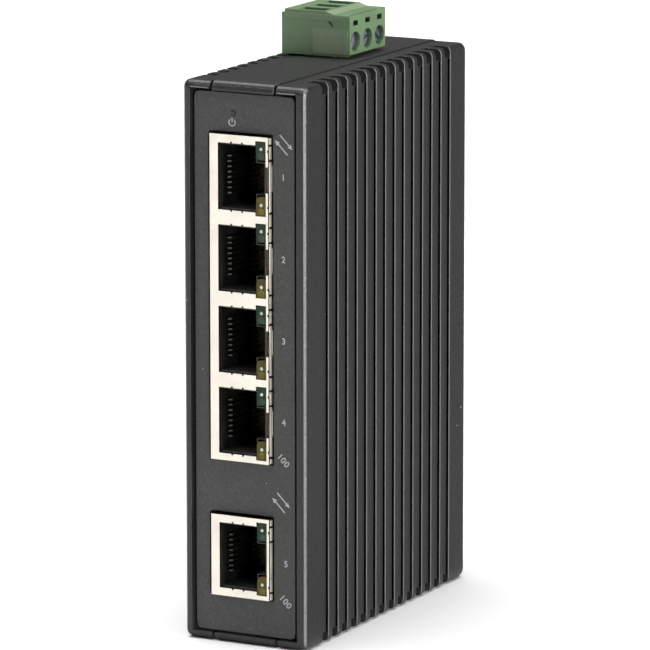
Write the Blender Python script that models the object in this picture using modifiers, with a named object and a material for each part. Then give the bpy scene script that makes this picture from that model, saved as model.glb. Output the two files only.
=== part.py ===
"""Five-port rail-mount Ethernet switch with a pluggable three-pole power terminal.

Lengths below are in millimetres in a shop frame: x from the left face, y from the bezel front
towards the rail, z from the underside. shape_object() turns them into metres in the row frame.
"""
import math

import bmesh
import bpy
from mathutils import Matrix, Vector

# Case
WIDTH = 26.5
HEIGHT = 109.0
DEPTH = 68.8
SEAM_LEFT = 5.85
SEAM_RIGHT = 20.15
SEAM_GAP = 0.3
SIDE_WALL_LEFT = 1.6
SIDE_WALL_RIGHT = 2.0
SKIN = 1.45
BACK_WALL = 1.7
FRONT_RADIUS = 1.5
BACK_RADIUS = 1.8
SIDE_RADIUS = 1.1
STRIP_PROUD = 0.2
STRIP_WAIST = 0.25
WAIST_BACK = 1.5
GAP = 0.3

# Ribs and vent slots on both sides
RIB_PITCH = 4.0
GROOVES = 14
GROOVE_START = 6.9
GROOVE_WIDTH = 2.3
GROOVE_DEPTH = 0.35
VENT_REACH = 3.5
VENT_TOP = 2.4
VENT_BOTTOM = 2.0

# Front plate and jacks
PLATE_FRONT = 0.8
PLATE_BACK = 2.3
PLATE_X = (2.2, 23.75)
PLATE_TOP = 107.0
PLATE_CORNER = 1.0
# The plate's openings leave this much more room along the left of the shields
OPENING_LEFT = 0.95
# What cuts the plate runs from ahead of it to behind it
PLATE_CUT = (-1.0, 4.0)
LAMP_HOLE = 0.6
# The light pipe's outline, as (radius, distance from the front)
LIGHT_PIPE = [(0.33, PLATE_FRONT + 0.35), (0.33, 6.0), (0.9, 6.3), (0.9, 8.0)]
JACK_LEFT = 6.2
JACK_RIGHT = 18.76
JACK_FRONT = -0.5
JACK_BACK = 20.5
SHEET = 0.35
PORT_PITCH = 15.78
PORT_TOP = 91.1
QUAD_PORTS = [PORT_TOP - PORT_PITCH * i for i in range(4)]
SINGLE_PORT = 17.2
ALL_PORTS = [*QUAD_PORTS, SINGLE_PORT]
QUAD_SPAN = (35.95, 99.15)
SINGLE_SPAN = (9.2, 25.15)
CONTACT_PITCH = 1.016
CONTACTS = 8
CONTACT_WIDTH = 0.3
CONTACT_THICKNESS = 0.3
CONTACT_PATH = [(9.35, 2.35), (8.85, 2.0), (8.55, 2.35), (9.9, 10.5), (9.9, 12.4)]
POWER_LAMP = (10.59, 103.17)

# One jack's opening, from its own middle
MOUTH_LEFT = 8.0
MOUTH_HALF = 6.45
TAB_EDGES = (10.85, 13.2)
TAB_SLIT = 0.2
TAB_RELIEF = 0.28
LAMP_LEFT = 16.05
LAMP_RIGHT = 18.28
GREEN_SPAN = (3.5, 7.25)
YELLOW_SPAN = (-7.15, -3.3)
LATCH_SPAN = (-2.6, 2.4)
LATCH_DEPTH = 1.2
LENS_FRONT = -0.4
LENS_BACK = 4.8
LENS_PLAY = 0.1

# Circuit board
BOARD_LEFT = 4.2
BOARD_RIGHT = 5.8
MOUNTED = BOARD_RIGHT + GAP

BOARD_SCREWS = [(61.5, 101.0), (61.5, 8.0), (28.0, 30.0)]
LEG_X = (MOUNTED, MOUNTED + 0.4)
CHIP_Y = (32.0, 46.0)
CHIP_Z = (52.0, 66.0)

# Power terminal
POLE_PITCH = 5.08
POLES = [43.4 + POLE_PITCH * i for i in (-1, 0, 1)]
PLUG_LEFT = 2.42
PLUG_RIGHT = 17.32
PLUG_FRONT = 35.8
PLUG_BACK = 51.0
PLUG_LOW_TOP = 117.55
PLUG_TOP = 118.2
PLUG_BOTTOM = 109.45
SCREW_AXIS = 112.4
HEAD = 1.72
SLOT_TURNS = (65.0, 8.0, -35.0)
PIN_X = 10.4
HEADER_X = (6.2, 14.7)
HEADER_Y = (35.3, 51.5)
HEADER_Z = (97.4, 109.0)
NOSE_X = (7.35, 13.5)
NOSE_Y = (36.35, 50.45)
NOSE_BOTTOM = 99.3

# Rail clip
RAIL_MIDDLE = 54.5
RAIL_WIDTH = 35.0
CLIP_LEFT = 4.5
CLIP_RIGHT = 21.5
CLIP_FACE = DEPTH + GAP
SEAT = 71.9
LIP_INNER = 73.6
LIP_OUTER = 75.3
CLIP_SCREWS = [80.5, 58.0]

MID_X = WIDTH / 2
MID_Y = (JACK_FRONT + LIP_OUTER) / 2
MM = 0.001
WELD = 1e-5
FLAT = math.radians(0.1)
SMOOTH_BELOW = math.radians(35)

for old in list(bpy.data.objects):
    bpy.data.objects.remove(old)

SCENE = bpy.context.scene
PARTS = bpy.data.collections.new("desktop network switch")
CUTTERS = bpy.data.collections.new("cutters")
CUTTERS.hide_render = True
SCENE.collection.children.link(PARTS)
SCENE.collection.children.link(CUTTERS)


def paint(name, colour, roughness, metallic=0.0):
    """A plain Principled material."""
    made = bpy.data.materials.new(name)
    made.use_nodes = True
    shader = made.node_tree.nodes["Principled BSDF"]
    shader.inputs["Base Color"].default_value = (*colour, 1.0)
    shader.inputs["Roughness"].default_value = roughness
    shader.inputs["Metallic"].default_value = metallic
    made.diffuse_color = (*colour, 1.0)
    return made


SHELL = paint("shell_plastic", (0.062, 0.062, 0.064), 0.55)
PLATE = paint("plate_plastic", (0.078, 0.078, 0.080), 0.6)
NICKEL = paint("nickel_sheet", (0.86, 0.83, 0.78), 0.28, 1.0)
INSERT = paint("jack_plastic", (0.012, 0.012, 0.012), 0.5)
GOLD = paint("gold_contact", (0.83, 0.62, 0.30), 0.25, 1.0)
GREEN_LENS = paint("green_lens", (0.03, 0.075, 0.05), 0.3)
YELLOW_LENS = paint("yellow_lens", (0.19, 0.15, 0.03), 0.3)
CLEAR_LENS = paint("clear_lens", (0.12, 0.13, 0.12), 0.2)
TERMINAL = paint("terminal_green", (0.25, 0.46, 0.22), 0.5)
STEEL = paint("zinc_steel", (0.62, 0.66, 0.72), 0.3, 1.0)
BRASS = paint("brass", (0.72, 0.56, 0.28), 0.35, 1.0)
BOARD = paint("board_laminate", (0.02, 0.13, 0.06), 0.4)
CHIP = paint("chip_resin", (0.02, 0.02, 0.022), 0.55)
FERRITE = paint("ferrite", (0.07, 0.07, 0.075), 0.7)
CAN = paint("aluminium_can", (0.78, 0.79, 0.80), 0.3, 1.0)
CLIP = paint("clip_plastic", (0.045, 0.045, 0.047), 0.5)


def turn_to(axis):
    """Turns a shape made along Z to run along axis, its outline in the other two in X, Y, Z order."""
    along_x = ((0, 1, 0), (0, 0, 1), (1, 0, 0))
    along_y = ((1, 0, 0), (0, 0, 1), (0, -1, 0))
    along_z = ((1, 0, 0), (0, 1, 0), (0, 0, 1))
    return Matrix((along_x, along_y, along_z)[axis]).transposed().to_4x4()


def slid(axis, distance):
    step = [0.0, 0.0, 0.0]
    step[axis] = distance
    return Matrix.Translation(step)


def prism(axis, outline, low, high):
    """A solid with this outline, from low to high on axis: a filled 2D curve, extruded."""
    curve = bpy.data.curves.new("outline", "CURVE")
    curve.dimensions = "2D"
    curve.fill_mode = "BOTH"
    curve.extrude = (high - low) / 2
    spline = curve.splines.new("POLY")
    spline.points.add(len(outline) - 1)
    for point, (a, b) in zip(spline.points, outline):
        point.co = (a, b, 0.0, 1.0)
    spline.use_cyclic_u = True
    holder = bpy.data.objects.new("outline", curve)
    mesh = bpy.data.meshes.new_from_object(holder)
    bpy.data.objects.remove(holder)
    mesh.transform(slid(axis, (low + high) / 2) @ turn_to(axis))
    return mesh


def block(x, y, z):
    """A box given by its (low, high) on each axis."""
    grown = bmesh.new()
    middle = Matrix.Translation([(low + high) / 2 for low, high in (x, y, z)])
    size = Matrix.Diagonal([high - low for low, high in (x, y, z)]).to_4x4()
    bmesh.ops.create_cube(grown, size=1.0, matrix=middle @ size)
    return drawn(grown)


def rod(axis, middle, radius, low, high, sides):
    """A round bar along axis through this point of the plane across it."""
    grown = bmesh.new()
    centre = Matrix.Translation((*middle, 0.0))
    bmesh.ops.create_cone(
        grown,
        cap_ends=True,
        segments=sides,
        radius1=radius,
        radius2=radius,
        depth=high - low,
        matrix=slid(axis, (low + high) / 2) @ turn_to(axis) @ centre,
    )
    return drawn(grown)


def turned(axis, middle, profile, sides):
    """A turned piece: profile is (radius, place on axis) from the low end up, spun by a Screw."""
    mesh = bpy.data.meshes.new("profile")
    way = -1 if axis == 1 else 1  # turn_to(1) sends +Z to -Y
    ends = [(0.0, profile[0][1]), *profile, (0.0, profile[-1][1])]
    corners = [(radius, 0.0, way * place) for radius, place in ends[::-way]]
    mesh.from_pydata(corners, [(i, i + 1) for i in range(len(corners) - 1)], [])
    holder = bpy.data.objects.new("profile", mesh)
    SCENE.collection.objects.link(holder)
    spin = holder.modifiers.new("spin", "SCREW")
    spin.steps = sides
    spin.render_steps = sides
    spin.use_merge_vertices = True
    spin.merge_threshold = 0.0001
    graph = bpy.context.evaluated_depsgraph_get()
    made = bpy.data.meshes.new_from_object(holder.evaluated_get(graph))
    bpy.data.objects.remove(holder)
    made.transform(turn_to(axis) @ Matrix.Translation((*middle, 0.0)))
    return made


def drawn(grown):
    """The mesh of a finished bmesh."""
    mesh = bpy.data.meshes.new("shape")
    grown.to_mesh(mesh)
    grown.free()
    return mesh


def rectangle(a, b):
    return [(a[0], b[0]), (a[1], b[0]), (a[1], b[1]), (a[0], b[1])]


def rounded(a, b, radii, steps):
    """A rectangle whose corners, from low-low round to low-high, have these radii."""
    corners = [(a[0], b[0], 180), (a[1], b[0], 270), (a[1], b[1], 0), (a[0], b[1], 90)]
    outline = []
    for (u, v, start), radius in zip(corners, radii):
        cu = u + radius if u == a[0] else u - radius
        cv = v + radius if v == b[0] else v - radius
        for i in range(steps + 1):
            angle = math.radians(start + 90 * i / steps)
            outline.append((cu + radius * math.cos(angle), cv + radius * math.sin(angle)))
    return outline


def ribbon(path, width):
    """The outline of a strip of this width that follows path, with mitred corners."""
    line = [Vector(p) for p in path]
    left = []
    right = []
    for i, point in enumerate(line):
        before = (point - line[i - 1]).normalized() if i else None
        after = (line[i + 1] - point).normalized() if i + 1 < len(line) else None
        ends = [way for way in (before, after) if way is not None]
        normals = [Vector((-way.y, way.x)) for way in ends]
        mitre = sum(normals, Vector((0, 0))).normalized()
        reach = width / 2 / mitre.dot(normals[0])
        left.append(tuple(point + mitre * reach))
        right.append(tuple(point - mitre * reach))
    return left + right[::-1]


def shape_object(name, shapes, home, origin):
    """One mesh object out of separate shapes, its origin at a point of the shop frame."""
    centre = Vector(origin)
    grown = bmesh.new()
    for shape in shapes:
        grown.from_mesh(shape)
        bpy.data.meshes.remove(shape)
    bmesh.ops.remove_doubles(grown, verts=grown.verts, dist=WELD)
    bmesh.ops.dissolve_limit(grown, angle_limit=FLAT, verts=grown.verts, edges=grown.edges)
    bmesh.ops.recalc_face_normals(grown, faces=grown.faces)
    bmesh.ops.transform(
        grown, matrix=Matrix.Scale(MM, 4) @ Matrix.Translation(-centre), verts=grown.verts
    )
    made = bpy.data.objects.new(name, drawn(grown))
    made.data.name = name
    made.location = (centre - Vector((MID_X, MID_Y, 0))) * MM
    home.objects.link(made)
    return made


def part(name, shapes, material, origin=(MID_X, MID_Y, 0)):
    made = shape_object(name, shapes, PARTS, origin)
    made.data.materials.append(material)
    made.data.shade_smooth()
    made.data.set_sharp_from_angle(angle=SMOOTH_BELOW)
    return made


def combine(made, shapes, operation, label):
    """Cuts shapes from a part or joins them to it."""
    helper = shape_object(f"{made.name}_{label}", shapes, CUTTERS, (MID_X, MID_Y, 0))
    helper.hide_render = True
    helper.display_type = "WIRE"
    step = made.modifiers.new(label, "BOOLEAN")
    step.operation = operation
    step.solver = "EXACT"
    step.object = helper
    return made


def cut(made, *shapes, label="cut"):
    return combine(made, shapes, "DIFFERENCE", label)


def join(made, *shapes, label="join"):
    return combine(made, shapes, "UNION", label)


def soften(made, wanted, radius, steps):
    """Rounds the edges of a part's own mesh whose both ends satisfy wanted, in the shop frame."""
    home = Matrix.Translation(Vector((MID_X, MID_Y, 0)))
    grown = bmesh.new()
    grown.from_mesh(made.data)
    edges = []
    for edge in grown.edges:
        ends = [home @ (v.co / MM + made.location / MM) for v in edge.verts]
        if all(wanted(end) for end in ends):
            edges.append(edge)
    bmesh.ops.bevel(
        grown,
        geom=edges,
        offset=radius * MM,
        offset_type="OFFSET",
        segments=steps,
        profile=0.5,
        affect="EDGES",
        clamp_overlap=True,
    )
    grown.to_mesh(made.data)
    grown.free()


CASE_RADII = (FRONT_RADIUS, BACK_RADIUS, BACK_RADIUS, FRONT_RADIUS)


def vent_outline(outer, inner_floor, inner_vent):
    """The C-shaped cut that makes one groove and the vent slots at its two ends."""
    return [
        (outer, -1.0),
        (inner_vent, -1.0),
        (inner_vent, VENT_BOTTOM),
        (inner_floor, VENT_BOTTOM),
        (inner_floor, HEIGHT - VENT_TOP),
        (inner_vent, HEIGHT - VENT_TOP),
        (inner_vent, HEIGHT + 1.0),
        (outer, HEIGHT + 1.0),
    ]


def grooves(outer, inner_floor, inner_vent):
    outline = vent_outline(outer, inner_floor, inner_vent)
    starts = [GROOVE_START + RIB_PITCH * i for i in range(GROOVES)]
    return [prism(1, outline, start, start + GROOVE_WIDTH) for start in starts]


def case_half(name, outer, seam, inner, step):
    """A side shell, a tray open to the seam and the front. step is +1 on the left, -1 on the right."""
    low, high = sorted((outer, seam))
    profile = rounded((0.0, DEPTH), (0.0, HEIGHT), CASE_RADII, 4)
    made = part(name, [prism(0, profile, low, high)], SHELL)
    soften(made, lambda p: abs(p.x - outer) < 0.01, SIDE_RADIUS, 3)
    far = seam + step
    hollow = block(sorted((inner, far)), (-1.0, DEPTH - BACK_WALL), (SKIN, HEIGHT - SKIN))
    cut(made, hollow, label="hollow")
    floor = outer + step * GROOVE_DEPTH
    cut(made, *grooves(outer - step, floor, outer + step * VENT_REACH), label="vents")
    return made


def build_case():
    left = case_half("left_shell", 0.0, SEAM_LEFT, SIDE_WALL_LEFT, 1)
    bosses = []
    holes = []
    for y, z in BOARD_SCREWS:
        bosses.append(rod(0, (y, z), 2.4, SIDE_WALL_LEFT - 0.4, BOARD_LEFT - GAP, 12))
        holes.append(rod(0, (y, z), 1.5, 2.0, BOARD_LEFT + 1.0, 12))
    join(left, *bosses, label="bosses")
    cut(left, *holes, label="boss_holes")
    case_half("right_shell", WIDTH, SEAM_RIGHT, WIDTH - SIDE_WALL_RIGHT, -1)
    top = HEIGHT + STRIP_PROUD
    profile = rounded((0.0, DEPTH), (0.0, top), CASE_RADII, 4)
    strip = (SEAM_LEFT + SEAM_GAP, SEAM_RIGHT - SEAM_GAP)
    frame = part("centre_frame", [prism(0, profile, *strip)], SHELL)
    inside = block((0.0, WIDTH), (-1.0, DEPTH - BACK_WALL), (SKIN, HEIGHT - SKIN - 0.25))
    cut(frame, inside, label="hollow")
    mouth = block((0.0, HEADER_X[1] + GAP), (HEADER_Y[0] - GAP, HEADER_Y[1] + GAP), (100.0, top + 1.0))
    cut(frame, mouth, label="terminal_mouth")
    bores = [rod(1, (MID_X, z), 1.5, DEPTH - 4.0, DEPTH + 1.0, 12) for z in CLIP_SCREWS]
    cut(frame, *bores, label="clip_bores")
    waists = []
    for edge in strip:
        sides = (edge - STRIP_WAIST, edge + STRIP_WAIST)
        waists.append(block(sides, (-1.0, WAIST_BACK), (-1.0, top + 1.0)))
    cut(frame, *waists, label="front_waists")


def build_plate():
    outline = rounded(PLATE_X, (SKIN + GAP, PLATE_TOP), [PLATE_CORNER] * 4, 3)
    plate = part("front_faceplate", [prism(1, outline, PLATE_FRONT, PLATE_BACK)], PLATE)
    wide = (JACK_LEFT - OPENING_LEFT, JACK_RIGHT + GAP)
    quad = block(wide, PLATE_CUT, (QUAD_SPAN[0] - GAP, QUAD_SPAN[1] + GAP))
    single = block(wide, PLATE_CUT, (SINGLE_SPAN[0] - GAP, SINGLE_SPAN[1] + GAP))
    lamp = rod(1, POWER_LAMP, LAMP_HOLE, *PLATE_CUT, 12)
    cut(plate, quad, single, lamp, label="openings")
    part("power_light_pipe", [turned(1, POWER_LAMP, LIGHT_PIPE, 10)], CLEAR_LENS)


def port_outline(z, notch):
    """The opening in the shield for one jack, with the spring tab reliefs and the lamp corners."""
    low = z - MOUTH_HALF
    high = z + MOUTH_HALF
    bottom = [(MOUTH_LEFT, low)]
    top = [(MOUTH_LEFT, high)]
    for x in TAB_EDGES:
        sides = (x - TAB_SLIT, x + TAB_SLIT)
        for line, edge, cut_to in ((bottom, low, low - TAB_RELIEF), (top, high, high + TAB_RELIEF)):
            line += [(sides[0], edge), (sides[0], cut_to), (sides[1], cut_to), (sides[1], edge)]
    bottom += [(LAMP_LEFT, low), (LAMP_LEFT, z + YELLOW_SPAN[0]), (LAMP_RIGHT, z + YELLOW_SPAN[0])]
    if notch:
        out = JACK_RIGHT - SHEET
        for x, end in ((LAMP_RIGHT, 0), (out, 0), (out, 1), (LAMP_RIGHT, 1)):
            bottom.append((x, z + LATCH_SPAN[end]))
    top += [(LAMP_LEFT, high), (LAMP_LEFT, z + GREEN_SPAN[1]), (LAMP_RIGHT, z + GREEN_SPAN[1])]
    return bottom + top[::-1]


def build_jack(label, span, ports, notch):
    """A shielded jack block: folded sheet outside, moulded insert, contact combs and lamps inside."""
    shield = part(
        f"jack_shield_{label}",
        [block((JACK_LEFT, JACK_RIGHT), (JACK_FRONT, JACK_BACK), span)],
        NICKEL,
    )
    inner = (span[0] + SHEET, span[1] - SHEET)
    hollow = block(
        (JACK_LEFT + SHEET, JACK_RIGHT - SHEET), (JACK_FRONT + SHEET, JACK_BACK + 1.0), inner
    )
    cut(shield, hollow, label="hollow")
    mouths = [prism(1, port_outline(z, notch), -2.0, JACK_FRONT + SHEET + 0.1) for z in ports]
    cut(shield, *mouths, label="mouths")
    notches = []
    for z in ports:
        for middle in (z - 5.4, z + 5.4):
            reach = (JACK_RIGHT - 0.2, JACK_RIGHT + 1.0)
            notches.append(block(reach, (JACK_FRONT - 0.5, 0.35), (middle - 0.25, middle + 0.25)))
        if notch:
            latch = (z + LATCH_SPAN[0], z + LATCH_SPAN[1])
            notches.append(block((LAMP_RIGHT, JACK_RIGHT + 1.0), (JACK_FRONT - 0.5, LATCH_DEPTH), latch))
    cut(shield, *notches, label="edge_notches")

    insert = part(
        f"jack_insert_{label}",
        [block((6.85, 18.1), (0.15, 20.0), (span[0] + 0.65, span[1] - 0.65))],
        INSERT,
    )
    rooms = []
    for z in ports:
        rooms.append(
            prism(
                1,
                [
                    (8.2, z - 6.1),
                    (15.9, z - 6.1),
                    (15.9, z - 3.0),
                    (17.7, z - 3.0),
                    (17.7, z + 3.0),
                    (15.9, z + 3.0),
                    (15.9, z + 6.1),
                    (8.2, z + 6.1),
                ],
                -1.0,
                14.5,
            )
        )
        for low, high in ((z - 7.45, z - 3.1), (z + 3.2, z + 7.45)):
            rooms.append(block((16.1, 19.0), (-1.0, 5.2), (low, high)))
    cut(insert, *rooms, label="rooms")

    for z in ports:
        number = 1 + ALL_PORTS.index(z)
        rail = block((8.5, 11.6), (11.6, 13.9), (z - 4.4, z + 4.4))
        comb = part(f"contact_comb_{number}", [rail], GOLD)
        wires = []
        for i in range(CONTACTS):
            low = z + CONTACT_PITCH * (i - (CONTACTS - 1) / 2) - CONTACT_WIDTH / 2
            outline = ribbon(CONTACT_PATH, CONTACT_THICKNESS)
            wires.append(prism(2, outline, low, low + CONTACT_WIDTH))
        join(comb, *wires, label="wires")
        part(f"led_yellow_{number}", [lens(z, YELLOW_SPAN, (0.1, 0.1, 0.1, 0.9))], YELLOW_LENS)
        part(f"led_green_{number}", [lens(z, GREEN_SPAN, (0.6, 0.1, 0.1, 0.2))], GREEN_LENS)


def lens(z, span, radii):
    """A lamp lens that fills its corner of the opening, with these corner radii."""
    sides = (LAMP_LEFT + LENS_PLAY, LAMP_RIGHT - LENS_PLAY)
    ends = (z + span[0] + LENS_PLAY, z + span[1] - LENS_PLAY)
    return prism(1, rounded(sides, ends, radii, 3), LENS_FRONT, LENS_BACK)


def build_board():
    board = part(
        "main_board",
        [block((BOARD_LEFT, BOARD_RIGHT), (2.8, 66.4), (2.0, 106.6))],
        BOARD,
    )
    holes = [rod(0, (y, z), 1.5, 0.0, 8.0, 12) for y, z in BOARD_SCREWS]
    holes += [rod(0, (y, 94.5), 0.95, 0.0, 8.0, 10) for y in POLES]
    cut(board, *holes, label="holes")
    for i, (y, z) in enumerate(BOARD_SCREWS, 1):
        profile = [(1.15, 2.4), (1.15, MOUNTED), (2.3, MOUNTED), (2.3, 6.9), (1.6, 7.6)]
        screw = part(f"board_screw_{i}", [turned(0, (y, z), profile, 14)], STEEL)
        cut(screw, block((7.0, 9.0), (y - 0.3, y + 0.3), (z - 1.2, z + 1.2)), label="slot")

    chip = part("switch_chip", [block((MOUNTED + 0.15, 7.6), CHIP_Y, CHIP_Z)], CHIP)
    legs = []
    for i in range(8):
        at = 1.4 + i * 1.6
        for low, high in ((-1.4, 0.3), (13.7, 15.4)):
            side = (CHIP_Y[0] + low, CHIP_Y[0] + high)
            legs.append(block(LEG_X, side, (CHIP_Z[0] + at - 0.3, CHIP_Z[0] + at + 0.3)))
            side = (CHIP_Z[0] + low, CHIP_Z[0] + high)
            legs.append(block(LEG_X, (CHIP_Y[0] + at - 0.3, CHIP_Y[0] + at + 0.3), side))
    join(chip, *legs, label="legs")

    small_chip("memory_chip", (34.0, 38.0), (40.0, 45.0), 4)
    small_chip("regulator_chip", (46.0, 50.0), (78.0, 83.0), 4)
    for i, z in enumerate((86.0, 76.0), 1):
        profile = [(3.3, MOUNTED), (3.3, 7.2), (3.15, 7.4), (3.15, 13.4), (2.8, 13.8)]
        part(f"capacitor_{i}", [turned(0, (60.0, z), profile, 20)], CAN)
    coil = part(
        "power_inductor",
        [prism(0, rounded((53.0, 62.0), (58.0, 67.0), (2.0, 2.0, 2.0, 2.0), 2), MOUNTED, 10.6)],
        FERRITE,
    )
    cut(coil, rod(0, (57.5, 62.5), 3.2, 10.1, 12.0, 16), label="dish")
    part(
        "crystal_can",
        [prism(0, rounded((50.0, 54.6), (44.0, 55.0), (2.2, 2.2, 2.2, 2.2), 4), MOUNTED, 9.6)],
        CAN,
    )
    fuse = part("fuse", [block((MOUNTED, 8.6), (46.0, 48.5), (86.5, 91.0))], CHIP)
    join(fuse, block((MOUNTED, 8.2), (46.2, 48.3), (85.8, 91.7)), label="ends")
    part(
        "surge_diode",
        [prism(0, rounded((53.0, 57.0), (93.0, 98.0), (0.4, 0.4, 0.4, 0.4), 1), MOUNTED, 8.4)],
        CHIP,
    )


def small_chip(name, y, z, pins):
    chip = part(name, [block((MOUNTED + 0.15, 7.6), y, z)], CHIP)
    legs = []
    for i in range(pins):
        at = z[0] + (z[1] - z[0]) * (i + 0.5) / pins
        for side in ((y[0] - 1.0, y[0] + 0.3), (y[1] - 0.3, y[1] + 1.0)):
            legs.append(block(LEG_X, side, (at - 0.22, at + 0.22)))
    join(chip, *legs, label="legs")


def build_header():
    header = part("power_header", [block(HEADER_X, HEADER_Y, HEADER_Z)], TERMINAL)
    cut(
        header,
        block(
            (HEADER_X[0] + 0.8, HEADER_X[1] - 0.8),
            (HEADER_Y[0] + 0.7, HEADER_Y[1] - 0.7),
            (HEADER_Z[0] + 1.5, HEADER_Z[1] + 1.0),
        ),
        label="socket",
    )
    ports = [block((PIN_X - 0.8, PIN_X + 0.8), (y - 0.8, y + 0.8), (90.0, 100.0)) for y in POLES]
    cut(header, *ports, label="pin_holes")
    for i, y in enumerate(POLES, 1):
        outline = ribbon([(3.5, 94.5), (PIN_X, 94.5), (PIN_X, 106.0)], 1.0)
        part(f"header_pin_{i}", [prism(1, outline, y - 0.5, y + 0.5)], STEEL)


def build_plug():
    origin = (MID_X, POLES[1], PLUG_BOTTOM)
    high = block((2.9, 12.0), (PLUG_FRONT + 0.35, PLUG_BACK - 0.35), (PLUG_LOW_TOP - 1.0, PLUG_TOP))
    head = [
        (PLUG_LEFT, PLUG_BOTTOM),
        (15.0, PLUG_BOTTOM),
        (15.0, PLUG_BOTTOM + 0.45),
        (PLUG_RIGHT, PLUG_BOTTOM + 0.45),
        (PLUG_RIGHT, PLUG_LOW_TOP),
        (PLUG_LEFT, PLUG_LOW_TOP),
    ]
    plug = part("plug_housing", [prism(1, head, PLUG_FRONT, PLUG_BACK)], TERMINAL, origin)
    join(plug, high, label="wire_side")
    join(plug, block(NOSE_X, NOSE_Y, (NOSE_BOTTOM, PLUG_BOTTOM + 1.0)), label="nose")
    rooms = [block((3.4, 14.3), (y - 1.9, y + 1.9), (110.1, 114.7)) for y in POLES]
    cut(plug, *rooms, label="clamp_rooms")
    funnels = [block((5.5, 11.4), (y - 1.5, y + 1.5), (114.0, 120.0)) for y in POLES]
    cut(plug, *funnels, label="wire_funnels")
    tunnels = []
    for y in POLES:
        outline = [(9.0, 90.0), (11.8, 90.0), (11.8, 111.0), (8.2, 111.0), (8.2, 107.2), (9.0, 107.2)]
        tunnels.append(prism(1, outline, y - 1.4, y + 1.4))
    cut(plug, *tunnels, label="pin_tunnels")
    bores = [rod(0, (y, SCREW_AXIS), 1.95, 14.0, 20.0, 20) for y in POLES]
    bores += [block((15.2, 20.0), (y - 1.0, y + 1.0), (115.5, 116.5)) for y in POLES]
    cut(plug, *bores, label="screw_bores")

    for i, y in enumerate(POLES, 1):
        axis = (9.7, y, SCREW_AXIS)
        profile = [(0.8, 9.7), (1.15, 10.1), (1.15, 14.5), (HEAD, 14.5), (HEAD, 16.3), (HEAD - 0.2, 16.5)]
        screw = part(f"terminal_screw_{i}", [turned(0, (y, SCREW_AXIS), profile, 18)], STEEL, axis)
        turn = math.radians(SLOT_TURNS[i - 1])
        along = Vector((math.cos(turn), math.sin(turn))) * 2.0
        across = Vector((-math.sin(turn), math.cos(turn))) * 0.3
        middle = Vector((y, SCREW_AXIS))
        corners = [along + across, across - along, -along - across, along - across]
        cut(screw, prism(0, [tuple(middle + corner) for corner in corners], 15.7, 18.0), label="slot")

        ring = rectangle((3.7, 11.6), (y - 1.6, y + 1.6))
        cage = part(f"clamp_cage_{i}", [prism(2, ring, 110.4, 114.4)], STEEL, axis)
        cut(cage, block((4.4, 10.5), (y - 1.1, y + 1.1), (100.0, 120.0)), label="window")
        cut(cage, rod(0, (y, SCREW_AXIS), 1.45, 6.0, 13.0, 14), label="thread_hole")

        bar = ribbon([(9.0, 114.1), (9.0, 107.9), (9.9, 107.0)], 0.8)
        shape = part(f"plug_contact_{i}", [prism(1, bar, y - 0.75, y + 0.75)], BRASS, axis)
        sleeve = block((9.3, 11.5), (y - 1.1, y + 1.1), (100.0, 107.6))
        join(shape, sleeve, label="sleeve")
        cut(shape, block((9.6, 11.2), (y - 0.8, y + 0.8), (90.0, 107.1)), label="pin_way")


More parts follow.
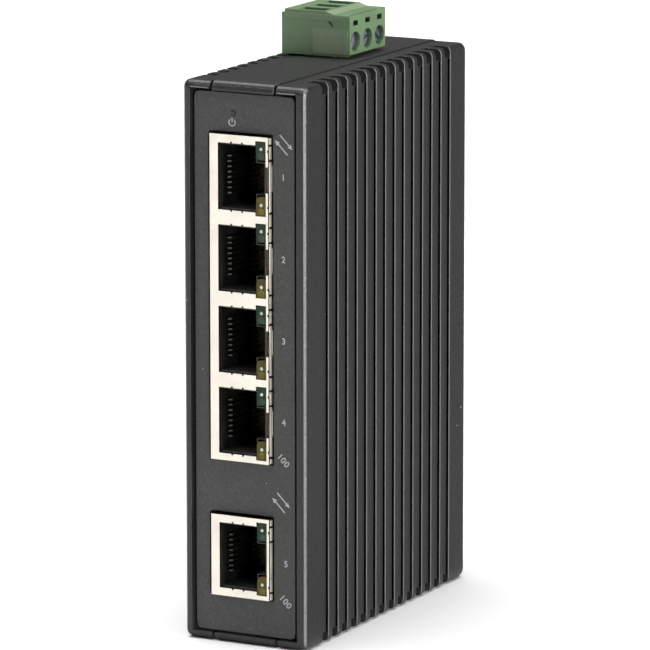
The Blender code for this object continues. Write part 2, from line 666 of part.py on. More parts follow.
def build_clip():
    top_edge = RAIL_MIDDLE + RAIL_WIDTH / 2
    bottom_edge = RAIL_MIDDLE - RAIL_WIDTH / 2
    side = [
        (CLIP_FACE, 28.0),
        (SEAT, 28.0),
        (SEAT, top_edge + 0.3),
        (LIP_INNER, top_edge + 0.3),
        (LIP_INNER, top_edge - 2.2),
        (LIP_OUTER, top_edge - 2.6),
        (LIP_OUTER, top_edge + 2.0),
        (SEAT + 0.6, top_edge + 3.6),
        (SEAT, top_edge + 3.6),
        (SEAT, 86.0),
        (CLIP_FACE, 86.0),
    ]
    base = part("rail_clip_base", [prism(0, side, CLIP_LEFT, CLIP_RIGHT)], CLIP)
    channel = [
        (MID_X - 4.3, CLIP_FACE - 1.0),
        (MID_X + 4.3, CLIP_FACE - 1.0),
        (MID_X + 4.3, CLIP_FACE + 1.5),
        (MID_X + 2.8, CLIP_FACE + 1.5),
        (MID_X + 2.8, SEAT + 1.0),
        (MID_X - 2.8, SEAT + 1.0),
        (MID_X - 2.8, CLIP_FACE + 1.5),
        (MID_X - 4.3, CLIP_FACE + 1.5),
    ]
    cut(base, prism(2, channel, 20.0, 52.0), label="latch_channel")
    bores = [rod(1, (MID_X, z), 1.5, DEPTH - 1.0, SEAT + 1.0, 12) for z in CLIP_SCREWS]
    cut(base, *bores, label="screw_holes")
    wells = [rod(1, (MID_X, z), 2.7, SEAT - 1.6, SEAT + 1.0, 16) for z in CLIP_SCREWS]
    cut(base, *wells, label="head_wells")

    origin = (MID_X, CLIP_FACE + GAP, bottom_edge)
    flange = block((MID_X - 4.0, MID_X + 4.0), (CLIP_FACE + 0.3, CLIP_FACE + 1.2), (22.0, 44.0))
    latch = part("rail_latch", [flange], CLIP, origin)
    hook = [
        (CLIP_FACE + 0.8, 16.5),
        (SEAT - 0.3, 16.5),
        (SEAT - 0.3, bottom_edge - 3.6),
        (SEAT + 0.8, bottom_edge - 3.6),
        (LIP_OUTER, bottom_edge - 2.0),
        (LIP_OUTER, bottom_edge + 1.2),
        (LIP_INNER, bottom_edge + 2.2),
        (LIP_INNER, bottom_edge - 0.3),
        (SEAT - 0.3, bottom_edge - 0.3),
        (SEAT - 0.3, 43.0),
        (CLIP_FACE + 0.8, 43.0),
    ]
    join(latch, prism(0, hook, MID_X - 2.5, MID_X + 2.5), label="hook")
    cut(latch, block((MID_X - 1.5, MID_X + 1.5), (60.0, 80.0), (18.5, 20.5)), label="driver_slot")

    low = 44.3
    high = 51.7
    turns = 6
    path = [(MID_X, low)]
    for i in range(turns):
        z = low + 0.7 + i * (high - low - 1.4) / (turns - 1)
        way = 1 if i % 2 else -1
        path += [(MID_X - way * 3.0 if i else MID_X, z), (MID_X + way * 3.0 if i < turns - 1 else MID_X, z)]
    path.append((MID_X, high))
    part("latch_spring", [prism(1, ribbon(path, 0.5), CLIP_FACE + 0.4, CLIP_FACE + 1.0)], STEEL)

    for i, z in enumerate(CLIP_SCREWS, 1):
        under = SEAT - 1.3
        profile = [(1.15, 64.6), (1.15, under), (2.35, under), (2.35, under + 0.8), (1.9, under + 1.2)]
        screw = part(f"clip_screw_{i}", [turned(1, (MID_X, z), profile, 14)], STEEL)
        slot = block((MID_X - 1.3, MID_X + 1.3), (SEAT - 0.7, SEAT + 1.0), (z - 0.3, z + 0.3))
        cut(screw, slot, label="slot")


build_case()
build_plate()
build_jack("quad", QUAD_SPAN, QUAD_PORTS, True)
build_jack("single", SINGLE_SPAN, [SINGLE_PORT], False)
build_board()
build_header()
build_plug()
build_clip()
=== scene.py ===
"""Looks for the five-port rail-mount Ethernet switch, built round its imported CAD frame."""
import math

import bmesh
import bpy
from mathutils import Matrix, Vector


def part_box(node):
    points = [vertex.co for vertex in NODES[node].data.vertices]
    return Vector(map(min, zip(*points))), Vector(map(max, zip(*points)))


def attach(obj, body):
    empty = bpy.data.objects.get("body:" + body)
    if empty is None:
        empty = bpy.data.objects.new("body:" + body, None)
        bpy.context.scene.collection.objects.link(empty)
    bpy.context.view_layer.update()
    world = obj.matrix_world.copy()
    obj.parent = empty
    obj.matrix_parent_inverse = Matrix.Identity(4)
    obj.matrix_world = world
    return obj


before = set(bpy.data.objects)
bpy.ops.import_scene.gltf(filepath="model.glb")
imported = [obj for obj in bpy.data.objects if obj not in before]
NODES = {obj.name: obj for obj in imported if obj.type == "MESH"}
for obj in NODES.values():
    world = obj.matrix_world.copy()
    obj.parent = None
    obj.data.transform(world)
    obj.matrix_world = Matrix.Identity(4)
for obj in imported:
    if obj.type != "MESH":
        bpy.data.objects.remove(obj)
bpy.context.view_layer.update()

MM = 0.001
SWITCH = "switch"
PLUG = "power_plug"
# The shop frame: millimetres from the left face, the front rim and the underside of the case.
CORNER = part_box("left_shell")[0]
FAR_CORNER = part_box("right_shell")[1]
CASE_RIGHT = (FAR_CORNER.x - CORNER.x) / MM
CASE_TOP = (FAR_CORNER.z - CORNER.z) / MM

# The ribbed sides: where each groove meets the next rib, and how high the ribs reach.
GROOVE_PITCH = 4.0
FIRST_GROOVE_END = 9.2
GROOVE_COUNT = 14
GROOVE_ENDS = [FIRST_GROOVE_END + GROOVE_PITCH * i for i in range(GROOVE_COUNT)]
RIB_BOTTOM = 2.0
RIB_TOP = CASE_TOP - 2.4
PORT_COUNT = 5


def at(x, y, z):
    """A point of the shop frame, in metres in the row frame."""
    return CORNER + Vector((x, y, z)) * MM


def shop_box(node):
    """A CAD node's box in the shop frame, as (low, high) on x, y and z."""
    low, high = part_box(node)
    return [(low[i] / MM - CORNER[i] / MM, high[i] / MM - CORNER[i] / MM) for i in range(3)]


def middle_of(span):
    return (span[0] + span[1]) / 2


# ---------------------------------------------------------------- materials

# Most of a noise's values lie between these.
NOISE_SPAN = (0.3, 0.7)
NARROW_SPAN = (0.35, 0.65)


def grey(tone):
    return (tone, tone, tone)


def scaled(colour, factor):
    return tuple(channel * factor for channel in colour)


class Paint:
    """A Principled material and the nodes that feed it."""

    def __init__(self, name, roughness=0.5, metallic=0.0, specular=0.5):
        self.material = bpy.data.materials.new(name)
        self.material.use_nodes = True
        self.tree = self.material.node_tree
        self.shader = self.tree.nodes["Principled BSDF"]
        self.shader.inputs["Roughness"].default_value = roughness
        self.shader.inputs["Metallic"].default_value = metallic
        self.shader.inputs["Specular IOR Level"].default_value = specular
        self.place = self.tree.nodes.new("ShaderNodeTexCoord").outputs["Object"]

    def node(self, kind, values=(), **settings):
        made = self.tree.nodes.new(kind)
        for key, value in settings.items():
            setattr(made, key, value)
        for key, value in dict(values).items():
            if isinstance(value, bpy.types.NodeSocket):
                self.tree.links.new(value, made.inputs[key])
            else:
                made.inputs[key].default_value = value
        return made

    def feed(self, socket, value):
        self.tree.links.new(value, self.shader.inputs[socket])

    def stretched(self, scale):
        return self.node("ShaderNodeMapping", {"Vector": self.place, "Scale": scale}).outputs["Vector"]

    def noise(self, scale, detail=2.0, rough=0.5, place=None):
        """Noise with this many features per metre."""
        values = {"Vector": place or self.place, "Scale": scale, "Detail": detail, "Roughness": rough}
        return self.node("ShaderNodeTexNoise", values).outputs["Fac"]

    def remap(self, value, low, high, to_low=0.0, to_high=1.0):
        values = {"Value": value, "From Min": low, "From Max": high, "To Min": to_low, "To Max": to_high}
        return self.node("ShaderNodeMapRange", values).outputs["Result"]

    def spread(self, noise, to_low=0.0, to_high=1.0, span=NOISE_SPAN):
        """A noise stretched out so that most of it runs from one value to the other."""
        return self.remap(noise, *span, to_low, to_high)

    def math(self, operation, a, b=0.0):
        return self.node("ShaderNodeMath", {0: a, 1: b}, operation=operation).outputs[0]

    def product(self, first, *others):
        for other in others:
            first = self.math("MULTIPLY", first, other)
        return first

    def mix(self, factor, a, b):
        made = self.node("ShaderNodeMix", data_type="RGBA")
        for socket, value in ((made.inputs[0], factor), (made.inputs[6], a), (made.inputs[7], b)):
            if isinstance(value, bpy.types.NodeSocket):
                self.tree.links.new(value, socket)
            else:
                socket.default_value = value if isinstance(value, float) else (*value, 1.0)
        return made.outputs[2]

    def mottled(self, noise, colour, contrast):
        """The colour, made darker and lighter by a noise."""
        return self.mix(self.spread(noise), scaled(colour, 1 - contrast), scaled(colour, 1 + contrast))

    def split(self, vector):
        """The X, Y and Z parts of a vector."""
        return self.node("ShaderNodeSeparateXYZ", {0: vector}).outputs

    def facing(self, kind="Normal"):
        """The X, Y and Z parts of the way a surface faces. 'True Normal' leaves its smoothing out."""
        return self.split(self.node("ShaderNodeNewGeometry").outputs[kind])

    def edge(self, radius):
        """1 on worn convex or concave edges and 0 on flats, from how far a rounded normal leans."""
        bent = self.node("ShaderNodeBevel", {"Radius": radius}, samples=4).outputs["Normal"]
        true = self.node("ShaderNodeNewGeometry").outputs["True Normal"]
        values = {0: bent, 1: true}
        lean = self.node("ShaderNodeVectorMath", values, operation="DOT_PRODUCT").outputs["Value"]
        flat, worn = 0.98, 0.75
        return self.remap(lean, flat, worn)

    def turning(self):
        """1 where a surface turns from one main direction to the next, 0 on the flats."""
        x, y, z = [self.math("ABSOLUTE", part) for part in self.facing()]
        largest = self.math("MAXIMUM", self.math("MAXIMUM", x, y), z)
        flat, turned = 0.985, 0.92
        return self.remap(largest, flat, turned)

    def ridges(self, first, pitch, count, width):
        """1 along the rounded front edge of each rib of the sides, where the painted highlight goes, fading
        out over this width, in metres.
        """
        sliver = 0.00001
        past = self.math("SUBTRACT", self.split(self.place)["Y"], first)
        near_edge = self.remap(self.math("MODULO", past, pitch), width, 0.4 * width)
        after_first = self.remap(past, -sliver, 0.0)
        before_last = self.remap(past, pitch * count, pitch * count - sliver)
        on_side = self.remap(self.math("ABSOLUTE", self.facing()["X"]), 0.3, 0.5)
        return self.product(near_edge, after_first, before_last, on_side)

    def corner_line(self):
        """1 on a line down the middle of a front corner's rounding, where the painted highlight goes."""
        facing = self.facing()
        side = self.math("ABSOLUTE", facing["X"])
        rising = self.remap(side, 0.42, 0.54)
        falling = self.remap(side, 0.82, 0.70)
        at_front = self.remap(facing["Y"], 0.0, -0.15)
        return self.product(rising, falling, at_front)

    def dust(self):
        """1 on a few tiny specks."""
        cells = self.node("ShaderNodeTexVoronoi", {"Vector": self.place, "Scale": 330.0}).outputs["Distance"]
        dots = self.remap(cells, 0.06, 0.04)
        chosen = self.remap(self.noise(scale=95.0, detail=0.0), 0.66, 0.68)
        return self.product(dots, chosen)

    def openness(self, distance):
        """1 on open surfaces and near 0 deep in holes and corners."""
        return self.node("ShaderNodeAmbientOcclusion", {"Distance": distance}, samples=6).outputs["AO"]

    def bump(self, height, strength, distance):
        values = {"Height": height, "Strength": strength, "Distance": distance}
        self.feed("Normal", self.node("ShaderNodeBump", values).outputs["Normal"])


DUST = (0.5, 0.5, 0.48)
GRAIN_CONTRAST = 0.5
# How much brighter the painted highlights on the ribs' front edges and down the front corners are than the
# plastic.
RIDGE_HIGHLIGHT = 9.0
CORNER_HIGHLIGHT = 8.0
RIDGE_HIGHLIGHT_WIDTH = 0.4


def grained_plastic(name, colour, roughness, specks=0.0, wear=2.0, ribbed=False):
    """Moulded plastic with a spark-eroded grain, cloudy patches, polished paler edges, a little dust,
    painted shade in recesses and, on ribbed sides, painted highlights on the rib edges and front corners.
    """
    paint = Paint(name, roughness)
    fine = paint.noise(scale=2800.0, detail=3.0, rough=0.65)
    coarse = paint.noise(scale=1100.0)
    cloud = paint.noise(scale=38.0, detail=3.0)
    worn = paint.edge(radius=0.00025)
    tone = paint.mottled(fine, colour, GRAIN_CONTRAST)
    tone = paint.mix(paint.spread(cloud, 0.0, 0.35, NARROW_SPAN), tone, scaled(colour, 0.8))
    tone = paint.mix(paint.product(worn, 0.7), tone, scaled(colour, wear))
    if specks:
        tone = paint.mix(paint.product(paint.dust(), specks), tone, DUST)
    if ribbed:
        first = CORNER.y + FIRST_GROOVE_END * MM
        rib_highlight = paint.ridges(first, GROOVE_PITCH * MM, GROOVE_COUNT, RIDGE_HIGHLIGHT_WIDTH * MM)
        # Painted highlights: lighten the ribs' front edges and a line down each front corner.
        tone = paint.mix(rib_highlight, tone, scaled(colour, RIDGE_HIGHLIGHT))
        tone = paint.mix(paint.corner_line(), tone, scaled(colour, CORNER_HIGHLIGHT))
    # Painted shade: the colour falls to a tenth in recesses, corners and inside the case.
    unshaded = paint.remap(paint.openness(distance=0.02), 0.15, 0.45)
    paint.feed("Base Color", paint.mix(unshaded, scaled(colour, 0.1), tone))
    rough = paint.spread(coarse, roughness - 0.06, roughness + 0.06)
    rough = paint.math("ADD", rough, paint.remap(unshaded, 1.0, 0.0, 0.0, 0.5))
    rough = paint.math("SUBTRACT", rough, paint.product(worn, 0.06))
    paint.feed("Roughness", paint.math("SUBTRACT", rough, paint.product(paint.turning(), 0.1)))
    texture = paint.math("ADD", paint.product(fine, 0.6), paint.product(coarse, 0.4))
    paint.bump(texture, strength=0.4, distance=0.0002)
    return paint.material


SIDE_SHADE = (0.05, 0.03, 0.018)


def sheet_metal(name, colour, roughness, shaded_sides=False):
    """Rolled and plated sheet: rolling lines, faint smudges, darker tarnish and, when asked, painted shade
    that tints the faces not looking along y dark brown.
    """
    paint = Paint(name, roughness, metallic=1.0)
    lines = paint.noise(scale=900.0, detail=3.0, place=paint.stretched((1.0, 1.0, 12.0)))
    smudge = paint.noise(scale=160.0, detail=4.0)
    tone = paint.mottled(lines, colour, 0.04)
    tone = paint.mix(paint.remap(smudge, 0.5, 0.75, 0.0, 0.6), tone, scaled(colour, 0.88))
    # Painted shade: faces that don't look along y are tinted dark brown, for the shaded gap round a jack.
    if shaded_sides:
        forward = paint.math("ABSOLUTE", paint.facing("True Normal")["Y"])
        tone = paint.mix(paint.remap(forward, 0.3, 0.7), SIDE_SHADE, tone)
    paint.feed("Base Color", tone)
    paint.feed("Roughness", paint.spread(smudge, roughness - 0.06, roughness + 0.08))
    paint.bump(lines, strength=0.12, distance=0.00002)
    return paint.material


# The contacts' tip colour gives way to the wire's between these depths behind the front rim; both are
# painted near black as shade.
TIP_END = 2.3
WIRE_START = 3.7


def contact_metal():
    """Gold contacts painted near black as the shade inside the jack: the mating tips darkest, fading into
    slightly lighter, mottled wire deeper in.
    """
    paint = Paint("gold_contact", roughness=0.3, metallic=1.0)
    depth = paint.split(paint.place)["Y"]
    tip = paint.remap(depth, CORNER.y + WIRE_START * MM, CORNER.y + TIP_END * MM)
    grime_and_shade = paint.noise(scale=1500.0)
    # Painted shade: the contact's colours are near black for the shade inside the jack.
    shaded_wire = paint.mix(paint.spread(grime_and_shade), (0.02, 0.016, 0.011), (0.06, 0.048, 0.032))
    paint.feed("Base Color", paint.mix(tip, shaded_wire, (0.014, 0.0125, 0.010)))
    paint.feed("Roughness", paint.spread(grime_and_shade, 0.25, 0.42))
    paint.bump(grime_and_shade, strength=0.1, distance=0.00002)
    return paint.material


def print_ink():
    """Pad-printed marking ink, a little broken up where it sits on the grain."""
    paint = Paint("marking_ink", roughness=0.55, specular=0.3)
    breaks = paint.noise(scale=5200.0)
    whole = paint.remap(breaks, 0.35, 0.5)
    paint.feed("Base Color", paint.mix(whole, (0.24, 0.24, 0.245), (0.46, 0.46, 0.47)))
    paint.feed("Roughness", paint.spread(breaks, 0.5, 0.65))
    paint.bump(breaks, strength=0.2, distance=0.00003)
    return paint.material


def coloured_moulding(name, colour, roughness, specular=0.5, mottle=0.1, hole=0.0025):
    """Smooth moulded resin: flow marks, mottled colour, softly paler edges and painted shade that darkens
    holes.
    """
    paint = Paint(name, roughness, specular=specular)
    flow = paint.noise(scale=260.0, detail=3.0, place=paint.stretched((1.0, 1.0, 0.35)))
    fine = paint.noise(scale=2400.0)
    tone = paint.mottled(flow, colour, mottle)
    tone = paint.mix(paint.spread(fine, 0.0, 0.35, NARROW_SPAN), tone, scaled(colour, 1 - 1.6 * mottle))
    worn = paint.product(paint.edge(radius=0.00016), 0.5)
    tone = paint.mix(worn, tone, scaled(colour, 1.25))
    # Painted shade: the colour darkens deep in holes and corners.
    unshaded = paint.remap(paint.openness(hole), 0.15, 0.75)
    tone = paint.mix(unshaded, scaled(colour, 0.12), tone)
    paint.feed("Base Color", tone)
    paint.feed("Roughness", paint.spread(flow, roughness - 0.05, roughness + 0.08))
    paint.bump(fine, strength=0.15, distance=0.00003)
    return paint.material


def lamp_lens(name, colour):
    """Tinted clear resin with a cloudy core."""
    paint = Paint(name, roughness=0.3, specular=0.25)
    core = paint.noise(scale=700.0)
    paint.feed("Base Color", paint.mix(paint.spread(core), scaled(colour, 0.75), scaled(colour, 1.3)))
    paint.feed("Roughness", paint.spread(core, 0.16, 0.3))
    paint.bump(core, strength=0.1, distance=0.00005)
    return paint.material


def laminate():
    """Green solder mask over copper tracks."""
    black, white = (*grey(0.0), 1.0), (*grey(1.0), 1.0)
    paint = Paint("board_laminate", roughness=0.35)
    values = {"Vector": paint.stretched((0.0, 1.0, 1.0)), "Scale": 320.0, "Mortar Size": 0.12}
    values.update({"Color1": black, "Color2": black, "Mortar": white})
    tracks = paint.node("ShaderNodeTexBrick", values).outputs["Color"]
    weave = paint.noise(scale=1800.0, detail=1.0)
    tone = paint.mix(tracks, (0.008, 0.05, 0.025), (0.02, 0.11, 0.05))
    tone = paint.mix(paint.spread(weave, 0.0, 0.25), tone, (0.01, 0.07, 0.03))
    paint.feed("Base Color", tone)
    paint.feed("Roughness", paint.spread(weave, 0.28, 0.42))
    paint.bump(tracks, strength=0.3, distance=0.00004)
    return paint.material


SHELL_COLOUR = (0.016, 0.016, 0.0162)
SHELL_ROUGHNESS = 0.42
SHELL = grained_plastic("shell_plastic", SHELL_COLOUR, SHELL_ROUGHNESS, specks=0.8)
RIBBED = grained_plastic("ribbed_plastic", SHELL_COLOUR, SHELL_ROUGHNESS, specks=0.8, ribbed=True)
PLATE = grained_plastic("plate_plastic", (0.044, 0.044, 0.0435), roughness=0.5, specks=0.4, wear=1.5)
CLIP = grained_plastic("clip_plastic", (0.012, 0.012, 0.0122), roughness=0.38)
INSERT = coloured_moulding("jack_plastic", (0.018, 0.017, 0.014), roughness=0.4, mottle=0.2)
CHIP = coloured_moulding("chip_resin", (0.02, 0.02, 0.022), roughness=0.55, mottle=0.2)
FERRITE = coloured_moulding("ferrite", (0.07, 0.07, 0.075), roughness=0.7, mottle=0.2)
GREEN = (0.122, 0.20, 0.100)
TERMINAL = coloured_moulding("terminal_green", GREEN, roughness=0.42, specular=0.45, hole=0.003)
NICKEL = sheet_metal("nickel_sheet", (0.75, 0.705, 0.625), roughness=0.3, shaded_sides=True)
FINGER_METAL = sheet_metal("nickel_fingers", (0.86, 0.80, 0.68), roughness=0.3)
GOLD = contact_metal()
STEEL = sheet_metal("zinc_steel", (0.50, 0.53, 0.60), roughness=0.36)
BRASS = sheet_metal("brass", (0.75, 0.58, 0.30), roughness=0.35)
CAN = sheet_metal("aluminium_can", (0.80, 0.81, 0.82), roughness=0.3)
GREEN_LENS = lamp_lens("green_lens", (0.008, 0.026, 0.012))
GREEN_CORE = lamp_lens("green_core", (0.026, 0.056, 0.030))
YELLOW_LENS = lamp_lens("yellow_lens", (0.070, 0.054, 0.003))
YELLOW_CORE = lamp_lens("yellow_core", (0.125, 0.100, 0.011))
# Painted highlight: the domes are pale to stand for the glint on each lamp lens.
GLINT = lamp_lens("lamp_dome", (0.52, 0.60, 0.50))
SHADOW_FILM = coloured_moulding("rib_shadow", grey(0.0012), roughness=1.0, specular=0.0)
DARK_GREEN = coloured_moulding("terminal_dark", (0.022, 0.042, 0.016), roughness=0.6, specular=0.2)
PALE_GREEN = coloured_moulding("terminal_pale", (0.17, 0.23, 0.14), roughness=0.42, specular=0.45)
LAMP_CAP = lamp_lens("lamp_cap", (0.045, 0.046, 0.046))
INK = print_ink()
CLEAR_LENS = lamp_lens("clear_lens", (0.10, 0.11, 0.10))
BOARD = laminate()

FINISH = {
    "left_shell": RIBBED, "right_shell": RIBBED, "centre_frame": SHELL, "front_faceplate": PLATE,
    "power_light_pipe": CLEAR_LENS, "jack_shield": NICKEL, "jack_insert": INSERT, "contact_comb": GOLD,
    "led_yellow": YELLOW_LENS, "led_green": GREEN_LENS, "main_board": BOARD, "board_screw": STEEL,
    "switch_chip": CHIP, "memory_chip": CHIP, "regulator_chip": CHIP, "capacitor": CAN,
    "power_inductor": FERRITE, "crystal_can": CAN, "fuse": CHIP, "surge_diode": CHIP,
    "power_header": TERMINAL, "header_pin": STEEL, "plug_housing": TERMINAL, "terminal_screw": STEEL,
    "clamp_cage": STEEL, "plug_contact": BRASS, "rail_clip_base": CLIP, "rail_latch": CLIP,
    "latch_spring": STEEL, "clip_screw": STEEL,
}
# How far the edges of each kind of part are rounded, in millimetres.
ROUNDING = {
    "left_shell": 0.18, "right_shell": 0.18, "centre_frame": 0.2, "front_faceplate": 0.15,
    "plug_housing": 0.15, "power_header": 0.15, "terminal_screw": 0.08, "rail_clip_base": 0.25,
    "rail_latch": 0.2, "clip_screw": 0.1,
}
WELD_DISTANCE = 1e-6
# Faces that lean less than this from each other are one flat face, and edges that turn more are rounded.
FLAT_ANGLE = math.radians(0.5)
EDGE_ANGLE = math.radians(40)


def rounded(part, width, **settings):
    """Rounds the edges of a part by this many millimetres."""
    edges = part.modifiers.new("edges", "BEVEL")
    edges.width = width * MM
    edges.segments = 2
    edges.limit_method = "ANGLE"
    edges.harden_normals = True
    for key, value in settings.items():
        setattr(edges, key, value)


def finish_part(node_name, part):
    """Gives a CAD part its material, and rounds its edges where they show."""
    stem = next(stem for stem in sorted(FINISH, key=len, reverse=True) if node_name.startswith(stem))
    if not part.material_slots:
        part.data.materials.append(FINISH[stem])
    for slot in part.material_slots:
        slot.material = FINISH[stem]
    if stem not in ROUNDING:
        return
    weld = part.modifiers.new("weld", "WELD")
    weld.merge_threshold = WELD_DISTANCE
    flat = part.modifiers.new("flat", "DECIMATE")
    flat.decimate_type = "DISSOLVE"
    flat.angle_limit = FLAT_ANGLE
    rounded(part, ROUNDING[stem], angle_limit=EDGE_ANGLE)


for node_name, part in NODES.items():
    finish_part(node_name, part)

# ---------------------------------------------------------------- shapes

SHARP_ANGLE = math.radians(35)


class Shape:
    """A mesh put together in the shop frame, in millimetres."""

    def __init__(self):
        self.grown = bmesh.new()

    def block(self, x, y, z):
        middle = Matrix.Translation([middle_of(span) for span in (x, y, z)])
        size = Matrix.Diagonal([high - low for low, high in (x, y, z)]).to_4x4()
        bmesh.ops.create_cube(self.grown, size=1.0, matrix=middle @ size)

    def lofted(self, outlines):
        """A closed solid through these outlines, which have as many points each."""
        rings = [[self.grown.verts.new(point) for point in outline] for outline in outlines]
        for lower, upper in zip(rings, rings[1:]):
            for i in range(len(lower)):
                j = (i + 1) % len(lower)
                self.grown.faces.new((lower[i], lower[j], upper[j], upper[i]))
        self.grown.faces.new(rings[0])
        self.grown.faces.new(rings[-1])

    def prism(self, axis, outline, low, high):
        """A solid with this outline in the other two axes, in X, Y, Z order."""
        self.lofted([[(*point[:axis], place, *point[axis:]) for point in outline] for place in (low, high)])

    def turned(self, middle, profile, sides):
        """A shape turned about a line along y: profile is (radius, y), and flat faces close its two ends."""
        angles = [2 * math.pi * i / sides for i in range(sides)]
        outlines = []
        for radius, y in profile:
            circle = [(radius * math.cos(angle), radius * math.sin(angle)) for angle in angles]
            outlines.append([(middle[0] + across, y, middle[1] + up) for across, up in circle])
        self.lofted(outlines)

    def place(self, name, material, body, bevel=0.0):
        """Makes it a piece that rides on a body."""
        bmesh.ops.recalc_face_normals(self.grown, faces=self.grown.faces)
        shift = Matrix.Translation(CORNER) @ Matrix.Scale(MM, 4)
        bmesh.ops.transform(self.grown, matrix=shift, verts=self.grown.verts)
        mesh = bpy.data.meshes.new(name)
        self.grown.to_mesh(mesh)
        self.grown.free()
        mesh.materials.append(material)
        mesh.shade_smooth()
        mesh.set_sharp_from_angle(angle=SHARP_ANGLE)
        made = bpy.data.objects.new(name, mesh)
        bpy.context.scene.collection.objects.link(made)
        if bevel:
            rounded(made, bevel)
        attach(made, body)


def arc(middle, radius, start, end, steps=20):
    """Points round part of a circle, in degrees from the right."""
    found = []
    for i in range(steps + 1):
        angle = math.radians(start + (end - start) * i / steps)
        found.append((middle[0] + radius * math.cos(angle), middle[1] + radius * math.sin(angle)))
    return found


def band(middle, outer, inner, start, end):
    """The outline of part of a ring."""
    return arc(middle, outer, start, end) + arc(middle, inner, end, start)


# ---------------------------------------------------------------- markings

# Port numbers, the speed mark and generic signs where the words were, all on the front plate.
PLATE_FACE = shop_box("front_faceplate")[1][0]
PORTS = [middle_of(shop_box(f"contact_comb_{number}")[2]) for number in range(1, PORT_COUNT + 1)]
LAMP_BOX = shop_box("power_light_pipe")
LAMP_MIDDLE = (middle_of(LAMP_BOX[0]), middle_of(LAMP_BOX[2]))
INK_STANDS = 0.02
INK_SINKS = 0.01
SIGN_DEPTH = (PLATE_FACE - INK_STANDS, PLATE_FACE + INK_SINKS)
SLANT = -45.0
LETTER_SPACING = 1.12
STROKE_WIDENING = 0.03
NUMBER_SIZE = 1.7
# A port number's x, and its height above its port's middle. The last port's stands apart.
NUMBER_PLACE = (21.35, 0.4)
LAST_NUMBER_PLACE = (21.75, -0.7)
SPEED_SIZE = 1.8
SPEED_MARKS = (("upper", 21.2, 36.8), ("lower", 21.6, 9.1))
TRAFFIC_SIGNS = (("upper", 21.45, 97.8), ("lower", 20.7, 28.5))


def printed(name, text, x, z, size, turn=0.0):
    """A printed mark on the front plate, centred at x, z."""
    curve = bpy.data.curves.new(name, "FONT")
    curve.body = text
    curve.size = size * MM
    curve.align_x = "CENTER"
    curve.align_y = "CENTER"
    curve.space_character = LETTER_SPACING
    curve.extrude = INK_STANDS / 2 * MM
    curve.offset = STROKE_WIDENING * MM
    curve.materials.append(INK)
    made = bpy.data.objects.new(name, curve)
    upright = Matrix.Rotation(math.radians(90), 4, "X")
    spun = Matrix.Rotation(math.radians(turn), 4, "Z")
    made.matrix_world = Matrix.Translation(at(x, PLATE_FACE - INK_STANDS / 2, z)) @ upright @ spun
    bpy.context.scene.collection.objects.link(made)
    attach(made, SWITCH)


def power_sign():
    """A ring that is open at the top and a stroke in its gap, below and left of the power lamp's middle."""
    x, z = LAMP_MIDDLE[0] - 0.2, LAMP_MIDDLE[1] - 1.85
    outer, inner = 0.78, 0.56
    half_stroke, stroke_top = 0.1, z + 0.95
    shape = Shape()
    shape.prism(1, band((x, z), outer, inner, start=130, end=410), *SIGN_DEPTH)
    shape.block((x - half_stroke, x + half_stroke), SIGN_DEPTH, (z, stroke_top))
    shape.place("power_sign", INK, SWITCH)


def traffic_sign(name, x, z):
    """Two opposed arrows on a slant, the general sign for traffic on a line."""
    reach, neck, half_shaft, half_head, apart = 1.9, 0.9, 0.13, 0.5, 0.75
    upper_side = [(-reach, half_shaft), (neck, half_shaft), (neck, half_head)]
    arrow = [(along, -off) for along, off in upper_side] + [(reach, 0.0)] + upper_side[::-1]
    slant = Matrix.Rotation(math.radians(SLANT), 2)
    shape = Shape()
    for way in (1, -1):
        outline = [slant @ (Vector(point) * way + Vector((0.0, apart * way))) for point in arrow]
        shape.prism(1, [(x + point.x, z + point.y) for point in outline], *SIGN_DEPTH)
    shape.place(name, INK, SWITCH)


for number, port in enumerate(PORTS, 1):
    x, up = LAST_NUMBER_PLACE if number == PORT_COUNT else NUMBER_PLACE
    printed(f"port_number_{number}", str(number), x, port + up, NUMBER_SIZE)
for side, x, z in SPEED_MARKS:
    printed(f"speed_mark_{side}", "100", x, z, SPEED_SIZE, SLANT)
power_sign()
for side, x, z in TRAFFIC_SIGNS:
    traffic_sign(f"traffic_sign_{side}", x, z)

# ---------------------------------------------------------------- jacks and lamps

# A sprung finger's section, as (x past the shield's right side, y).
FINGER = [(0.02, -0.1), (0.1, -0.25), (0.27, 0.045), (0.27, 0.5), (0.02, 0.5)]
# Where the row of fingers is broken, above and below each port's middle.
FINGER_BREAKS = (-6.5, 3.6, 6.5)
HALF_BREAK = 0.22
FINGER_MARGIN = 0.1
SHORTEST_FINGER = 0.4


def shield_fingers():
    """The sprung earthing fingers down the right side of each jack shield."""
    edge = shop_box("jack_shield_quad")[0][1]
    section = [(edge + x, y) for x, y in FINGER]
    shape = Shape()
    for shield, ports in (("jack_shield_quad", PORTS[:-1]), ("jack_shield_single", PORTS[-1:])):
        low, high = shop_box(shield)[2]
        breaks = sorted(port + gap for port in ports for gap in FINGER_BREAKS)
        ends = [low + FINGER_MARGIN]
        for stop in breaks:
            ends += [stop - HALF_BREAK, stop + HALF_BREAK]
        ends.append(high - FINGER_MARGIN)
        for start, stop in zip(ends[::2], ends[1::2]):
            if stop - start > SHORTEST_FINGER:
                shape.prism(2, section, start, stop)
    shape.place("shield_fingers", FINGER_METAL, SWITCH, bevel=0.02)


# A dome's profile, as (radius, y behind the lens's face), and how far up each lens it stands.
DOME = [(0.33, 0.02), (0.31, -0.05), (0.18, -0.085), (0.04, -0.095)]
DOME_SIDES = 14
DOME_HEIGHT = {"green": 0.60, "yellow": 0.56}
# A core's outline, as (x from the lamp's middle, z above the lens's foot), and its depth like the dome's.
CORE = [(-0.55, 0.25), (0.6, 0.2), (0.7, 1.1), (0.0, 1.6), (-0.65, 1.1)]
CORE_DEPTH = (-0.015, 0.02)
LAMP_SHIFT = 0.05


